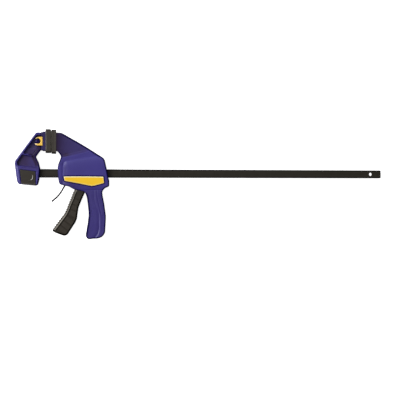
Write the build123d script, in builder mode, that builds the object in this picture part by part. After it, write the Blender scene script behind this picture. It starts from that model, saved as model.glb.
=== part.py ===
from build123d import *
import math
import os

# One-handed quick release bar clamp, lying on its back on a bench.
# +X runs along the bar from the fixed jaw to the free end, +Y points from the
# bar to the pads, +Z is the thickness. The pieces are drawn about the middle of
# the bar and written with their origin at the centre of the fixed pad's face.
os.makedirs("parts", exist_ok=True)

# ---------------------------------------------------------------- bar
BAR_H = 19.0            # bar width, along Y
BAR_T = 6.35            # bar thickness, along Z
BAR_X0 = -68.0          # end inside the fixed jaw
BAR_X1 = 774.8          # free end
BAR_HOLE_R = 4.2        # hole at the free end
BAR_HOLE_X = 749.9
BAR_EDGE_R = 1.4

# ---------------------------------------------------------------- levels along Z
RIM_Z = 12.5            # rim flanges of the fixed jaw
WEB_Z = 3.5             # web of the fixed jaw, half thickness
BASE_Z = 15.0           # base block of the fixed jaw
MAIN_Z = 17.0           # main panel of the housing
MID_Z = 14.0            # front band and shoulder of the housing
ARM_Z = 10.5            # arm of the housing, hollow to 3 mm below this
ARM_END_Z = 13.4        # the arm flares out behind the pad
# half thickness of the arm along the bar, from the pad on
ARM_FLARE = [(10.9, 13.4), (17.0, 11.9), (24.0, 10.8), (32.0, 10.0), (45.0, 9.5),
             (130.0, 9.4)]
GRIP_Z = 15.0           # grip
BAY_Z = 13.0            # mechanism bay, half width
GRIP_BAY_Z = 12.0       # channel in the grip, half width
PAD_Z = 14.0
PLATE_Z = 12.0
TAB_Z = 9.5             # inner face of the swivelling plate's tabs
TAB_X0 = -21.9          # their far end

# ---------------------------------------------------------------- swivelling pad
PIVOT = (-29.2, 71.5)   # axis of the swivelling pad
BOSS_R = 5.5
BOSS_Z = 6.5            # the clip turns on the boss up to here
BOSS_TOP_R = 4.2        # narrower top of the boss
BOSS_TOP_Z = 8.3
CLIP_R = 5.8
CLIP_Z0 = 4.0
CLIP_Z1 = 9.5
PAD_MID = 71.5
PAD_GAP = 0.25          # between the two pads with the jaws closed
PAD_FALL = 0.25         # how far each pad's face falls away at its ends

# ---------------------------------------------------------------- trigger and brake
TRIG_PIVOT = (77.0, 28.0)
TRIG_PIN_R = 3.0
TRIG_BORE_R = 3.06
TRIG_Z = 10.8           # trigger, half width
FORK_Z = 4.3            # inner face of the fork arms
LEVER_TOP = (38.5, 24.0)
LEVER_T = 3.4
LEVER_TILT = 8.0
PLATE_T = 3.0
DRIVE_X = 86.3          # first drive plate
SPRING_END = 113.0      # seat of the drive spring
BRAKE_SEAT = 53.0       # seat of the brake spring


def corner(a, b, c, r):
    """Tangent points and middle of the arc that rounds corner b, or b alone."""
    (ax, ay), (bx, by), (cx, cy) = a, b, c
    l1, l2 = math.hypot(bx - ax, by - ay), math.hypot(cx - bx, cy - by)
    u, v = ((ax - bx) / l1, (ay - by) / l1), ((cx - bx) / l2, (cy - by) / l2)
    turn = math.pi - math.acos(max(-1.0, min(1.0, u[0] * v[0] + u[1] * v[1])))
    if turn < 0.02 or r <= 0:
        return [(bx, by)]
    t = min(r * math.tan(turn / 2), 0.45 * l1, 0.45 * l2)
    rr = t / math.tan(turn / 2)
    hx, hy = u[0] + v[0], u[1] + v[1]
    h = math.hypot(hx, hy)
    m = rr / math.cos(turn / 2) - rr
    return [(bx + u[0] * t, by + u[1] * t), (bx + hx / h * m, by + hy / h * m),
            (bx + v[0] * t, by + v[1] * t)]


def outline(points, r=0.0):
    """Closed flat face inside the points, with its corners rounded up to r."""
    n = len(points)
    runs = [corner(points[i - 1], points[i], points[(i + 1) % n], r) for i in range(n)]
    with BuildSketch() as s:
        with BuildLine():
            for i in range(n):
                if len(runs[i]) == 3:
                    ThreePointArc(*runs[i])
                Line(runs[i][-1], runs[(i + 1) % n][0])
        make_face()
    return s.sketch


# ================================================================ outlines
fixed_pts = [
    (-70.8, -24.1), (-74.9, -17.2), (-77.3, 1.0), (-79.7, 22.5), (-78.5, 27.9),
    (-60.4, 52.9), (-34.6, 88.3), (-31.2, 90.5), (-20.6, 90.4), (-20.6, 51.2),
    (-23.6, 51.4), (-34.1, 36.6), (-28.1, 24.7), (-24.5, 10.0), (-26.5, -13.0),
    (-29.4, -25.4), (-33.9, -27.5), (-52.0, -25.8),
]
fixed_base_pts = [
    (-70.2, -23.6), (-74.2, -17.0), (-76.8, 1.0), (-79.0, 20.3), (-52.0, 15.0),
    (-26.3, 11.8), (-25.5, 9.7), (-27.4, -13.0), (-30.2, -25.0), (-34.0, -27.1),
    (-52.0, -25.4),
]
# upper pocket, from the cross rib to the open end behind the swivelling pad
pocket_a = [
    (-61.4, 43.8), (-48.0, 62.2), (-33.4, 82.3), (-30.6, 84.4), (-18.0, 84.4),
    (-18.0, 58.6), (-28.4, 58.6), (-31.0, 53.5), (-38.6, 42.8), (-38.9, 40.3),
]
pocket_b = [
    (-63.4, 41.0), (-39.4, 37.5), (-36.0, 33.2), (-32.8, 24.0), (-30.4, 14.8),
    (-52.0, 17.8), (-74.4, 22.2), (-74.7, 25.5),
]
nose_cut = [(-22.6, 59.0), (-22.6, 84.0), (-15.0, 84.0), (-15.0, 59.0)]
cover_pts = [
    (-69.4, 8.7), (-34.0, 4.1), (-34.0, -26.9), (-52.0, -25.2), (-66.2, -23.7),
]
cover_cut_pts = [
    (-69.5, 8.9), (-33.9, 4.2), (-33.9, -30.0), (-66.5, -30.0), (-66.4, -23.4),
]

housing_top = [
    (5.0, 90.6), (10.9, 90.6), (21.6, 90.6), (27.6, 87.8), (35.3, 83.4), (51.1, 74.6),
    (66.8, 65.7), (81.5, 56.8), (102.1, 43.4), (112.9, 36.6), (116.2, 33.8), (118.3, 29.7),
    (119.9, 22.8), (122.8, 9.5), (126.8, -11.1),
]
housing_back_edge = [
    (128.2, -15.7), (128.4, -27.3), (126.4, -30.0), (120.7, -32.0), (116.8, -34.8),
]
grip_edge = [
    (113.9, -38.8), (112.8, -43.0), (113.6, -49.6), (115.1, -57.5), (117.2, -67.7),
    (118.3, -76.7), (119.6, -85.8), (120.8, -94.9), (120.9, -102.0), (120.4, -109.6),
    (119.7, -120.9), (119.1, -132.7), (115.7, -138.9), (111.8, -142.7), (105.8, -145.3),
    (100.1, -146.4), (91.1, -146.7), (82.7, -147.7), (78.6, -145.8), (75.8, -140.9),
    (76.3, -137.3), (77.6, -130.6), (78.3, -123.8), (80.3, -114.8), (81.5, -105.4),
    (82.6, -95.5), (82.5, -86.8), (81.8, -81.2), (80.7, -70.1), (79.4, -60.9),
    (78.5, -54.2), (77.6, -48.6), (75.2, -43.9), (71.7, -40.0),
]
housing_front_edge = [
    (59.9, -37.9), (51.8, -36.5), (43.9, -32.5), (39.6, -29.7), (33.0, -28.1),
    (26.4, -26.6), (20.3, -25.2), (17.7, -22.8), (16.5, -19.2), (15.3, -10.6), (13.9, 4.0),
    (13.9, 14.1), (15.2, 20.2), (16.9, 24.8), (19.1, 30.2), (21.3, 36.1), (20.7, 40.1),
    (17.5, 44.9), (14.0, 49.0), (10.9, 50.0), (5.0, 50.0),
]
body_pts = housing_top + housing_back_edge + grip_edge + housing_front_edge
mid_pts = [
    (21.4, 38.6), (29.8, 38.4), (84.4, 51.7), (85.5, 54.2), (102.1, 43.4),
] + housing_top[9:] + housing_back_edge + [(113.4, -38.6), (95.0, -38.4), (75.0, -41.0)] \
    + housing_front_edge[:-5]
main_pts = [
    (25.6, -25.9), (26.8, 15.4), (28.2, 22.0), (31.6, 26.6), (50.0, 30.3),
    (85.5, 35.9), (109.3, 38.9),
] + housing_top[9:] + housing_back_edge + [(113.4, -38.0), (95.0, -37.2), (75.0, -39.6),
                                          (60.0, -37.4), (52.0, -36.0), (44.2, -32.1),
                                          (39.8, -29.2), (33.1, -27.6)]
grip_pts = [(112.6, -25.0)] + grip_edge + [(72.0, -25.0)]

# hollow inside: the mechanism bay, open below for the trigger, with the channel
# in the front of the grip that the squeezed trigger sinks into
bay_pts = [
    (20.0, -20.0), (19.0, 10.0), (23.0, 23.0), (27.0, 26.3), (46.0, 26.3),
    (47.5, 32.0), (92.0, 38.0), (108.0, 34.0), (SPRING_END, 27.0), (SPRING_END, -27.0),
    (108.5, -34.0), (107.0, -38.0), (50.5, -50.0), (50.5, -31.6), (44.0, -28.6),
    (33.0, -24.2), (22.0, -21.6),
]
channel_pts = [
    (50.5, -30.0), (106.0, -30.0), (106.5, -46.0), (109.0, -60.0), (112.0, -78.0),
    (114.6, -96.0), (114.2, -118.0), (113.0, -131.0), (108.0, -138.5), (98.0, -141.0),
    (84.0, -141.6), (80.6, -138.0), (82.4, -124.0), (85.2, -107.0), (86.8, -96.0),
    (86.6, -87.0), (76.0, -84.5), (50.5, -60.0),
]
arm_hollow_pts = [
    (14.6, 54.0), (14.6, 86.4), (21.0, 86.4), (36.0, 78.2), (64.0, 62.4),
    (84.0, 50.6), (94.0, 44.0), (90.0, 41.5), (40.0, 37.0), (27.0, 40.0),
    (24.5, 43.5), (20.5, 49.6),
]

trigger_pts = [
    (69.3, 27.0), (69.6, 31.0), (72.0, 34.4), (75.6, 35.6), (79.4, 35.3), (82.8, 32.8),
    (84.4, 28.0), (84.6, 18.0), (85.0, 8.0), (86.0, 1.0), (85.6, -3.0), (83.4, -8.0),
    (81.2, -15.0), (78.6, -26.0), (76.0, -36.0), (73.5, -44.0), (69.9, -51.9),
    (65.9, -60.9), (62.3, -69.9), (59.6, -77.3), (58.5, -85.1), (57.3, -92.2),
    (56.5, -100.3), (52.9, -109.4), (47.9, -117.1), (43.7, -123.8), (39.2, -130.5),
    (35.7, -136.3), (31.7, -138.6), (27.0, -139.3), (17.6, -135.7), (10.9, -133.0),
    (5.3, -130.7), (1.8, -127.3), (7.3, -118.2), (14.1, -109.2), (22.3, -98.2),
    (28.9, -89.4), (32.4, -82.0), (36.4, -71.5), (42.1, -58.0), (47.2, -44.6),
    (52.0, -36.0), (57.0, -24.0), (62.0, -12.0), (66.0, 2.0), (68.4, 14.0),
]
# the ribbed strip on the front edge of the trigger
strip_outer = [
    (49.6, -39.0), (47.2, -44.6), (42.1, -58.0), (36.4, -71.5), (32.4, -82.0),
    (28.9, -89.4), (22.3, -98.2), (14.1, -109.2), (7.3, -118.2), (2.9, -125.2),
]
strip_inner = [(8.6, -127.6), (12.4, -121.6), (19.2, -112.8), (27.4, -101.8),
               (34.3, -92.4), (38.2, -84.2), (42.2, -73.9), (47.9, -60.4),
               (53.0, -47.0), (55.2, -41.4)]


# ================================================================ bar side
with BuildPart() as bar:
    with BuildSketch(Plane.YZ.offset(BAR_X0)):
        RectangleRounded(BAR_H, BAR_T, BAR_EDGE_R)
    extrude(amount=BAR_X1 - BAR_X0)
    with Locations((BAR_HOLE_X, 0, BAR_T / 2)):
        Hole(radius=BAR_HOLE_R)
    with Locations((-50.0, 0, BAR_T / 2)):
        Hole(radius=3.0)
    with BuildSketch(Plane.XY.offset(-BAR_T)) as tip:
        with Locations((BAR_X1, BAR_H / 2), (BAR_X1, -BAR_H / 2)):
            Rectangle(2.4, 2.4, rotation=45)
    extrude(amount=2 * BAR_T, mode=Mode.SUBTRACT)
bar.part.label = "bar"

with BuildPart() as fixed_jaw:
    with BuildSketch(Plane.XY.offset(-RIM_Z)):
        add(outline(fixed_pts, 4.0))
    extrude(amount=2 * RIM_Z)
    with BuildSketch(Plane.XY.offset(-BASE_Z)):
        add(outline(fixed_base_pts, 3.0))
    extrude(amount=2 * BASE_Z)
    for pocket, level, r in ((pocket_a, WEB_Z, 2.0), (pocket_b, WEB_Z + 1.5, 2.5)):
        for side in (level, -level - 20):
            with BuildSketch(Plane.XY.offset(side)):
                add(outline(pocket, r))
            extrude(amount=20, mode=Mode.SUBTRACT)
    # web cut back behind the swivelling clip
    with BuildSketch(Plane.XY.offset(-20)):
        add(outline(nose_cut))
    extrude(amount=40, mode=Mode.SUBTRACT)
    # end of the rim stepped down under the swivelling plate's tabs
    for z0 in (TAB_Z - 0.5, -TAB_Z + 0.5 - 10.0):
        with BuildSketch(Plane.XY.offset(z0)):
            with Locations((TAB_X0 - 1.5 + 10.0, 71.0)):
                Rectangle(20.0, 60.0)
        extrude(amount=10.0, mode=Mode.SUBTRACT)
    # round boss on each side of the web
    for radius, level in ((BOSS_R, BOSS_Z), (BOSS_TOP_R, BOSS_TOP_Z)):
        with BuildSketch(Plane.XY.offset(-level)):
            with Locations(PIVOT):
                Circle(radius)
        extrude(amount=2 * level)
    # slot for the bar
    with BuildSketch(Plane.YZ.offset(BAR_X0)):
        Rectangle(BAR_H, BAR_T)
    extrude(amount=60, mode=Mode.SUBTRACT)
    # beds of the two base covers
    for level in (BASE_Z - 3.0, -BASE_Z - 7.0):
        with BuildSketch(Plane.XY.offset(level)):
            add(outline(cover_cut_pts))
        extrude(amount=10, mode=Mode.SUBTRACT)
    with Locations((-50.0, 0, BASE_Z)):
        Hole(radius=3.0)
fixed_jaw.part.label = "fixed_jaw"

with BuildPart() as jaw_pin:
    with Locations((-50.0, 0, 0)):
        Cylinder(radius=3.0, height=23.6)
    chamfer(jaw_pin.edges().filter_by(GeomType.CIRCLE), 0.5)
jaw_pin.part.label = "jaw_pin"

with BuildPart() as base_cover_front:
    with BuildSketch(Plane.XY.offset(BASE_Z - 3.0)):
        add(outline(cover_pts, 1.2))
    extrude(amount=2.6)
    # raised crescent near the throat side
    with BuildSketch(Plane.XY.offset(BASE_Z - 0.6)):
        with Locations((-47.7, -8.2)):
            Circle(8.0)
        with Locations((-49.8, -7.5)):
            Circle(8.8, mode=Mode.SUBTRACT)
    extrude(amount=0.9)
base_cover_front.part.label = "base_cover_front"

with BuildPart() as base_cover_back:
    with BuildSketch(Plane.XY.offset(-BASE_Z + 0.4)):
        add(outline(cover_pts, 1.2))
    extrude(amount=2.6)
base_cover_back.part.label = "base_cover_back"

# ================================================================ swivelling pad
clip_pts = [
    (-18.7, 82.1), (-22.0, 82.2), (-30.6, 81.0), (-33.6, 79.1), (-35.2, 77.2),
    (-34.6, 75.7), (-29.2, 75.7), (-29.2, 67.3), (-34.8, 67.3), (-36.0, 65.2),
    (-34.9, 63.3), (-31.0, 61.8), (-22.0, 61.2), (-18.7, 61.3),
]
with BuildPart() as swivel_clip:
    for z0 in (CLIP_Z0, -CLIP_Z1):
        with BuildSketch(Plane.XY.offset(z0)):
            add(outline(clip_pts, 1.2))
            with Locations(PIVOT):
                Circle(CLIP_R, mode=Mode.SUBTRACT)
        extrude(amount=CLIP_Z1 - CLIP_Z0)
    # bridge between the cheeks, against the backing plate
    with BuildSketch(Plane.XY.offset(-CLIP_Z1)):
        with Locations((-20.0, 71.7)):
            Rectangle(2.6, 20.6)
    extrude(amount=2 * CLIP_Z1)
swivel_clip.part.label = "swivel_clip"

with BuildPart() as swivel_plate:
    with BuildSketch(Plane.YZ.offset(-18.7)):
        with Locations((PAD_MID - 0.2, 0)):
            RectangleRounded(43.0, 2 * PLATE_Z, 3.0)
    extrude(amount=6.2)
    with BuildSketch(Plane.YZ.offset(-15.5)):
        with Locations((PAD_MID, 0)):
            RectangleRounded(24.0, 12.0, 2.0)
    extrude(amount=5, mode=Mode.SUBTRACT)
    # tabs that close the gap to the jaw at the top and the bottom, from outside
    for y0, y1 in ((51.2, 60.3), (83.1, 91.4)):
        for z0 in (TAB_Z, -PLATE_Z):
            with Locations(((TAB_X0 - 18.7) / 2, (y0 + y1) / 2, z0 + (PLATE_Z - TAB_Z) / 2)):
                Box(-18.7 - TAB_X0 + 0.4, y1 - y0, PLATE_Z - TAB_Z)
swivel_plate.part.label = "swivel_plate"

# each pad has a flat land in the middle, falls away slightly towards its ends,
# so that the fixed one can swivel, and has bevelled corners
LAND = 8.0
pad_profile = [(-12.5, 45.8), (-12.5, 98.0), (-1.0, 98.0), (-PAD_FALL, 96.8),
               (0.0, PAD_MID + LAND), (0.0, PAD_MID - LAND),
               (-PAD_FALL, 46.8), (-0.9, 45.8)]
with BuildPart() as fixed_pad:
    with BuildSketch(Plane.XY.offset(-PAD_Z)):
        add(outline(pad_profile, 1.2))
    extrude(amount=2 * PAD_Z)
    with BuildSketch(Plane.YZ.offset(-15.4)):
        with Locations((PAD_MID, 0)):
            RectangleRounded(24.0, 12.0, 2.0)
    extrude(amount=4.0)
fixed_pad.part.label = "fixed_pad"

# ================================================================ sliding jaw
sliding_profile = [(10.9, 44.1), (10.9, 97.0), (PAD_GAP + 1.0, 97.0),
                   (PAD_GAP + PAD_FALL, 95.8), (PAD_GAP, PAD_MID + LAND),
                   (PAD_GAP, PAD_MID - LAND), (PAD_GAP + PAD_FALL, 45.1),
                   (PAD_GAP + 0.9, 44.1)]
with BuildPart() as sliding_pad:
    with BuildSketch(Plane.XY.offset(-PAD_Z)):
        add(outline(sliding_profile, 1.2))
    extrude(amount=2 * PAD_Z)
    # tongue that sits in the end of the arm
    with BuildSketch(Plane.YZ.offset(10.0)):
        with Locations((PAD_MID, 0)):
            RectangleRounded(20.0, 9.0, 1.5)
    extrude(amount=4.4)
sliding_pad.part.label = "sliding_pad"

# screw positions, with the outer level of the back half at each
SCREWS = [((24.0, 72.0), 10.3), ((60.0, 51.0), 9.2), ((52.2, 24.5), MAIN_Z),
          ((101.5, 28.5), MAIN_Z), ((46.2, -24.0), MAIN_Z), ((104.0, -30.5), MAIN_Z),
          ((99.5, -126.0), GRIP_Z)]
BOSS = 3.9

panel_pts = [(27.6, -6.7), (62.0, -6.6), (115.0, -6.9), (116.7, -21.3), (103.0, -25.1),
             (90.0, -28.6), (62.0, -23.1), (29.6, -17.2)]
panel_cut_pts = [(27.4, -6.5), (62.0, -6.4), (115.2, -6.7), (116.95, -21.45),
                 (103.05, -25.3), (90.0, -28.83), (61.95, -23.3), (29.45, -17.4)]

with BuildPart() as housing_front:
    with BuildSketch(Plane.XY):
        add(outline(body_pts, 3.5))
    extrude(amount=ARM_END_Z)
    with BuildSketch(Plane.XY):
        with Locations((0.9, PAD_MID)):
            Rectangle(20.0, 80.0)
    extrude(amount=ARM_END_Z, mode=Mode.SUBTRACT)
    with BuildSketch(Plane.XZ):
        add(outline(ARM_FLARE + [(140.0, 9.4), (140.0, 20.0), (5.0, 20.0), (5.0, 13.4)]))
    extrude(amount=160, both=True, mode=Mode.SUBTRACT)
    with BuildSketch(Plane.XY):
        add(outline(mid_pts, 3.0))
    extrude(amount=MID_Z)
    with BuildSketch(Plane.XY):
        add(outline(grip_pts, 3.5))
    extrude(amount=GRIP_Z)
    with BuildSketch(Plane.XY):
        add(outline(main_pts, 3.5))
    extrude(amount=MAIN_Z)
    # hollows
    with BuildSketch(Plane.XY):
        add(outline(bay_pts))
    extrude(amount=BAY_Z, mode=Mode.SUBTRACT)
    with BuildSketch(Plane.XY):
        add(outline(channel_pts))
    extrude(amount=GRIP_BAY_Z, mode=Mode.SUBTRACT)
    with BuildSketch(Plane.XY):
        add(outline(arm_hollow_pts))
    extrude(amount=ARM_Z - 3.0, mode=Mode.SUBTRACT)
    # spring seat of the brake and the two ribs that hold the brake plate's top
    with BuildSketch(Plane.XY):
        with Locations((BRAKE_SEAT + 1.5, 0)):
            Rectangle(3.0, 34.0)
        with Locations((34.7, 24.6)):
            Rectangle(2.6, 8.0)
        with Locations((42.0, 24.6)):
            Rectangle(2.6, 8.0)
        with Locations(*[s[0] for s in SCREWS[2:6]]):
            Circle(BOSS)
    extrude(amount=BAY_Z)
    with BuildSketch(Plane.XY):
        with Locations(*[s[0] for s in SCREWS[:2]]):
            Circle(BOSS)
    extrude(amount=ARM_Z - 2.0)
    with BuildSketch(Plane.XY):
        with Locations(SCREWS[6][0]):
            Circle(BOSS)
    extrude(amount=GRIP_BAY_Z)
    # way of the bar
    with BuildSketch(Plane.YZ.offset(5.0)):
        Rectangle(BAR_H + 0.7, BAR_T + 0.7)
    extrude(amount=140, mode=Mode.SUBTRACT)
    # way out for the tail of the release lever
    with BuildSketch(Plane.XY):
        add(outline([(26.2, -20.0), (40.4, -20.0), (40.4, -40.0), (20.5, -40.0),
                     (24.0, -30.0)]))
    extrude(amount=9.0, mode=Mode.SUBTRACT)
    # seat of the sliding pad's tongue
    with BuildSketch(Plane.YZ.offset(5.0)):
        with Locations((PAD_MID, 0)):
            RectangleRounded(20.0, 9.0, 1.5)
    extrude(amount=9.4, mode=Mode.SUBTRACT)
    # seat of the trigger pin and of the screws
    with BuildSketch(Plane.XY):
        with Locations(TRIG_PIVOT):
            Circle(TRIG_PIN_R)
    extrude(amount=BAY_Z + 2.0, mode=Mode.SUBTRACT)
    with BuildSketch(Plane.XY):
        with Locations(*[s[0] for s in SCREWS]):
            Circle(1.5)
    extrude(amount=8.0, mode=Mode.SUBTRACT)
    # bed of the side panel
    with BuildSketch(Plane.XY.offset(MAIN_Z - 1.2)):
        add(outline(panel_cut_pts, 2.4))
    extrude(amount=5.0, mode=Mode.SUBTRACT)
housing_front.part.label = "housing_front"

with BuildPart() as housing_back:
    add(housing_front.part)
    mirror(about=Plane.XY, mode=Mode.REPLACE)
    # screw holes run right through, with a countersunk bed for each head
    for (sx, sy), level in SCREWS:
        with BuildSketch(Plane.XY.offset(-level - 1.0)):
            with Locations((sx, sy)):
                Circle(3.2)
        extrude(amount=3.8, mode=Mode.SUBTRACT)
        with BuildSketch(Plane.XY.offset(-level)):
            with Locations((sx, sy)):
                Circle(1.8)
        extrude(amount=level, mode=Mode.SUBTRACT)
housing_back.part.label = "housing_back"

with BuildPart() as side_panel_front:
    with BuildSketch(Plane.XY.offset(MAIN_Z - 1.2)):
        add(outline(panel_pts, 2.2))
    extrude(amount=1.2)
side_panel_front.part.label = "side_panel_front"

with BuildPart() as side_panel_back:
    with BuildSketch(Plane.XY.offset(-MAIN_Z + 0.1)):
        add(outline(panel_pts, 2.2))
    extrude(amount=1.1)
side_panel_back.part.label = "side_panel_back"

with BuildPart() as housing_screws:
    for (sx, sy), level in SCREWS:
        with BuildSketch(Plane.XY.offset(-level + 0.6)):
            with Locations((sx, sy)):
                Circle(2.9)
        extrude(amount=2.2)
        with BuildSketch(Plane.XY.offset(-level + 2.8)):
            with Locations((sx, sy)):
                Circle(1.5)
        extrude(amount=level - 2.8 + 7.5)
        # cross recess in the head
        with BuildSketch(Plane.XY.offset(-level + 0.6)):
            with Locations((sx, sy)):
                Rectangle(3.2, 0.8)
                Rectangle(0.8, 3.2)
        extrude(amount=1.2, mode=Mode.SUBTRACT)
housing_screws.part.label = "housing_screws"

with BuildPart() as trigger_pin:
    with Locations((TRIG_PIVOT[0], TRIG_PIVOT[1], 0)):
        Cylinder(radius=TRIG_PIN_R, height=2 * BAY_Z + 3.6)
    chamfer(trigger_pin.edges().filter_by(GeomType.CIRCLE), 0.4)
trigger_pin.part.label = "trigger_pin"

# ================================================================ trigger
with BuildPart() as trigger:
    with BuildSketch(Plane.XY.offset(-TRIG_Z)):
        add(outline(trigger_pts, 6.0))
    extrude(amount=2 * TRIG_Z)
    # fork around the bar
    with BuildSketch(Plane.XY.offset(-FORK_Z)):
        with Locations((75.0, 16.0)):
            Rectangle(60.0, 61.0)
    extrude(amount=2 * FORK_Z, mode=Mode.SUBTRACT)
    # bed of the front strip
    with BuildSketch(Plane.XY.offset(-TRIG_Z)):
        add(outline([(46.0, -37.0)] + [(x - 4.0, y + 1.6) for x, y in strip_outer]
                    + strip_inner))
    extrude(amount=2 * TRIG_Z, mode=Mode.SUBTRACT)
    with Locations((TRIG_PIVOT[0], TRIG_PIVOT[1], TRIG_Z)):
        Hole(radius=TRIG_BORE_R)
trigger.part.label = "trigger"

# ribs across the front of the strip
RIB_PITCH = 5.9
RIB_H = 1.6


def ribbed(points):
    """The line with ribs: valleys cut RIB_H deep to the right of its direction."""
    out, run, side = [points[0]], 0.0, 1
    for (ax, ay), (bx, by) in zip(points[:-1], points[1:]):
        seg = math.hypot(bx - ax, by - ay)
        ux, uy = (bx - ax) / seg, (by - ay) / seg
        k = math.floor((run - RIB_PITCH / 4) / (RIB_PITCH / 2)) + 1
        while RIB_PITCH / 4 + k * RIB_PITCH / 2 < run + seg:
            s = RIB_PITCH / 4 + k * RIB_PITCH / 2 - run
            for t, h in ((s - 0.35, 0.0), (s + 0.35, RIB_H)) if k % 2 == 0 \
                    else ((s - 0.35, RIB_H), (s + 0.35, 0.0)):
                out.append((ax + ux * t - uy * h, ay + uy * t + ux * h))
            k += 1
        run += seg
    return out + [points[-1]]


with BuildPart() as trigger_grip:
    with BuildSketch(Plane.XY.offset(-TRIG_Z + 0.2)):
        add(outline(ribbed(strip_outer) + strip_inner))
    extrude(amount=2 * TRIG_Z - 0.4)
trigger_grip.part.label = "trigger_grip"

with BuildPart() as drive_plates:
    for x0 in (DRIVE_X, DRIVE_X + PLATE_T + 0.3):
        with BuildSketch(Plane.YZ.offset(x0)):
            RectangleRounded(31.0, 20.0, 2.5)
            Rectangle(BAR_H + 0.9, BAR_T + 0.8, mode=Mode.SUBTRACT)
        extrude(amount=PLATE_T)
drive_plates.part.label = "drive_plates"

drive_spring_x0 = DRIVE_X + 2 * PLATE_T + 0.3
with BuildPart() as drive_spring:
    with BuildLine():
        drive_path = Helix(pitch=3.9, height=SPRING_END - drive_spring_x0 - 1.9, radius=11.25,
                           center=(drive_spring_x0 + 0.95, 0, 0), direction=(1, 0, 0))
    with BuildSketch(Plane(origin=drive_path @ 0, z_dir=drive_path % 0)):
        Circle(0.75)
    sweep(path=drive_path)
drive_spring.part.label = "drive_spring"

# ================================================================ release lever
# thin plate around the bar: the straight upper part brakes, the tail is pulled
tilt = math.radians(LEVER_TILT)
dx, dy = -math.sin(tilt), -math.cos(tilt)


def along(d):
    """Point on the middle of the straight part of the plate, d below its top."""
    return (LEVER_TOP[0] + dx * d, LEVER_TOP[1] + dy * d)


lever_line = [along(-0.2), along(47.0), (28.6, -29.3), (23.6, -38.2), (17.9, -47.1),
              (10.6, -54.6), (1.9, -62.1)]
with BuildPart() as release_lever:
    with BuildSketch(Plane.XY.offset(-8.0)):
        with BuildLine():
            knee = [lever_line[:1]] + [corner(lever_line[i - 1], lever_line[i],
                                              lever_line[i + 1], 60.0)
                                       for i in range(1, len(lever_line) - 1)] \
                + [lever_line[-1:]]
            for i in range(len(knee) - 1):
                if len(knee[i]) == 3:
                    ThreePointArc(*knee[i])
                Line(knee[i][-1], knee[i + 1][0])
            offset(amount=LEVER_T / 2, side=Side.BOTH, kind=Kind.ARC)
        make_face()
    extrude(amount=16.0)
    slot_plane = Plane(origin=(along(24.25)[0], along(24.25)[1], 0), x_dir=(-dx, -dy, 0),
                       z_dir=(dy, -dx, 0))
    with BuildSketch(slot_plane):
        Rectangle(20.6, BAR_T + 0.8)
    extrude(amount=4.0, both=True, mode=Mode.SUBTRACT)
    # the tail is narrower than the brake plate
    with BuildSketch(Plane.XY.offset(6.5)):
        add(outline([(36.0, -31.0), (-5.0, -31.0), (-5.0, -70.0), (36.0, -70.0)]))
    extrude(amount=5, mode=Mode.SUBTRACT)
    with BuildSketch(Plane.XY.offset(-11.5)):
        add(outline([(36.0, -31.0), (-5.0, -31.0), (-5.0, -70.0), (36.0, -70.0)]))
    extrude(amount=5, mode=Mode.SUBTRACT)
release_lever.part.label = "release_lever"

with BuildPart() as brake_spring:
    with BuildLine():
        brake_path = Helix(pitch=3.2, height=BRAKE_SEAT - 38.6 - 1.5, radius=11.15,
                           center=(38.6 + 0.75, 0, 0), direction=(1, 0, 0))
    with BuildSketch(Plane(origin=brake_path @ 0, z_dir=brake_path % 0)):
        Circle(0.6)
    sweep(path=brake_path)
brake_spring.part.label = "brake_spring"

for piece in (bar, fixed_jaw, jaw_pin, base_cover_front, base_cover_back, swivel_clip,
              swivel_plate, fixed_pad, sliding_pad, housing_front, housing_back,
              side_panel_front, side_panel_back, housing_screws, trigger_pin, trigger,
              trigger_grip, drive_plates, drive_spring, release_lever, brake_spring):
    placed = piece.part.moved(Location((0, -PAD_MID, 0)))
    placed.label = piece.part.label
    export_step(placed, f"parts/{placed.label}.step")
    print(placed.label, len(placed.solids()), round(placed.volume, 1))
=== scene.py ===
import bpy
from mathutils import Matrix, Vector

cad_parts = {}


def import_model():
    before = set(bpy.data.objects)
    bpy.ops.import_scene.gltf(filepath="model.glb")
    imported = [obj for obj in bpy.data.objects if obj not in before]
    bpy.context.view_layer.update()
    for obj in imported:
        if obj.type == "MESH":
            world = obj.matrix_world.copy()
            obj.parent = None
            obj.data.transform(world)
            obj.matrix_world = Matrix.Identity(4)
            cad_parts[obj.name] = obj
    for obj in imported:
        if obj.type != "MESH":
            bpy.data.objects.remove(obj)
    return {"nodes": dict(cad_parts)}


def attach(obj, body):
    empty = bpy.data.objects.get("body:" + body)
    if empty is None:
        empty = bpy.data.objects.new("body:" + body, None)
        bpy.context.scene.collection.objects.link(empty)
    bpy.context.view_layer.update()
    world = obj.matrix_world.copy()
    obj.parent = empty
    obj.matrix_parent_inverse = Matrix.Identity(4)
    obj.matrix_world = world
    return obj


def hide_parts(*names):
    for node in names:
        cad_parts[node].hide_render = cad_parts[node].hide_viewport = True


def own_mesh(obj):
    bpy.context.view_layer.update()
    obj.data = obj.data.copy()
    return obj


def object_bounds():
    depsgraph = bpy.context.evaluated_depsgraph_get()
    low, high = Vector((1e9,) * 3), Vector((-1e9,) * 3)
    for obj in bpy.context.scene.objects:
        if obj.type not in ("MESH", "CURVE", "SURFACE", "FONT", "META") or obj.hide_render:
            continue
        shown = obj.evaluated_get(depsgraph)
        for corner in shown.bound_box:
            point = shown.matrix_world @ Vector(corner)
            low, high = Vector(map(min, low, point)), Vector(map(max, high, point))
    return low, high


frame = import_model()
CAD_BOX = [list(v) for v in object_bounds()]

import math
import bpy
import numpy as np
from mathutils import Vector

# Millimetres in here are counted as in the CAD drawing: X along the bar, Y from
# the middle of the bar towards the pads, Z the thickness. The row's origin lies
# 71.5 mm above the bar's middle.
Y0 = 71.5


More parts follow.
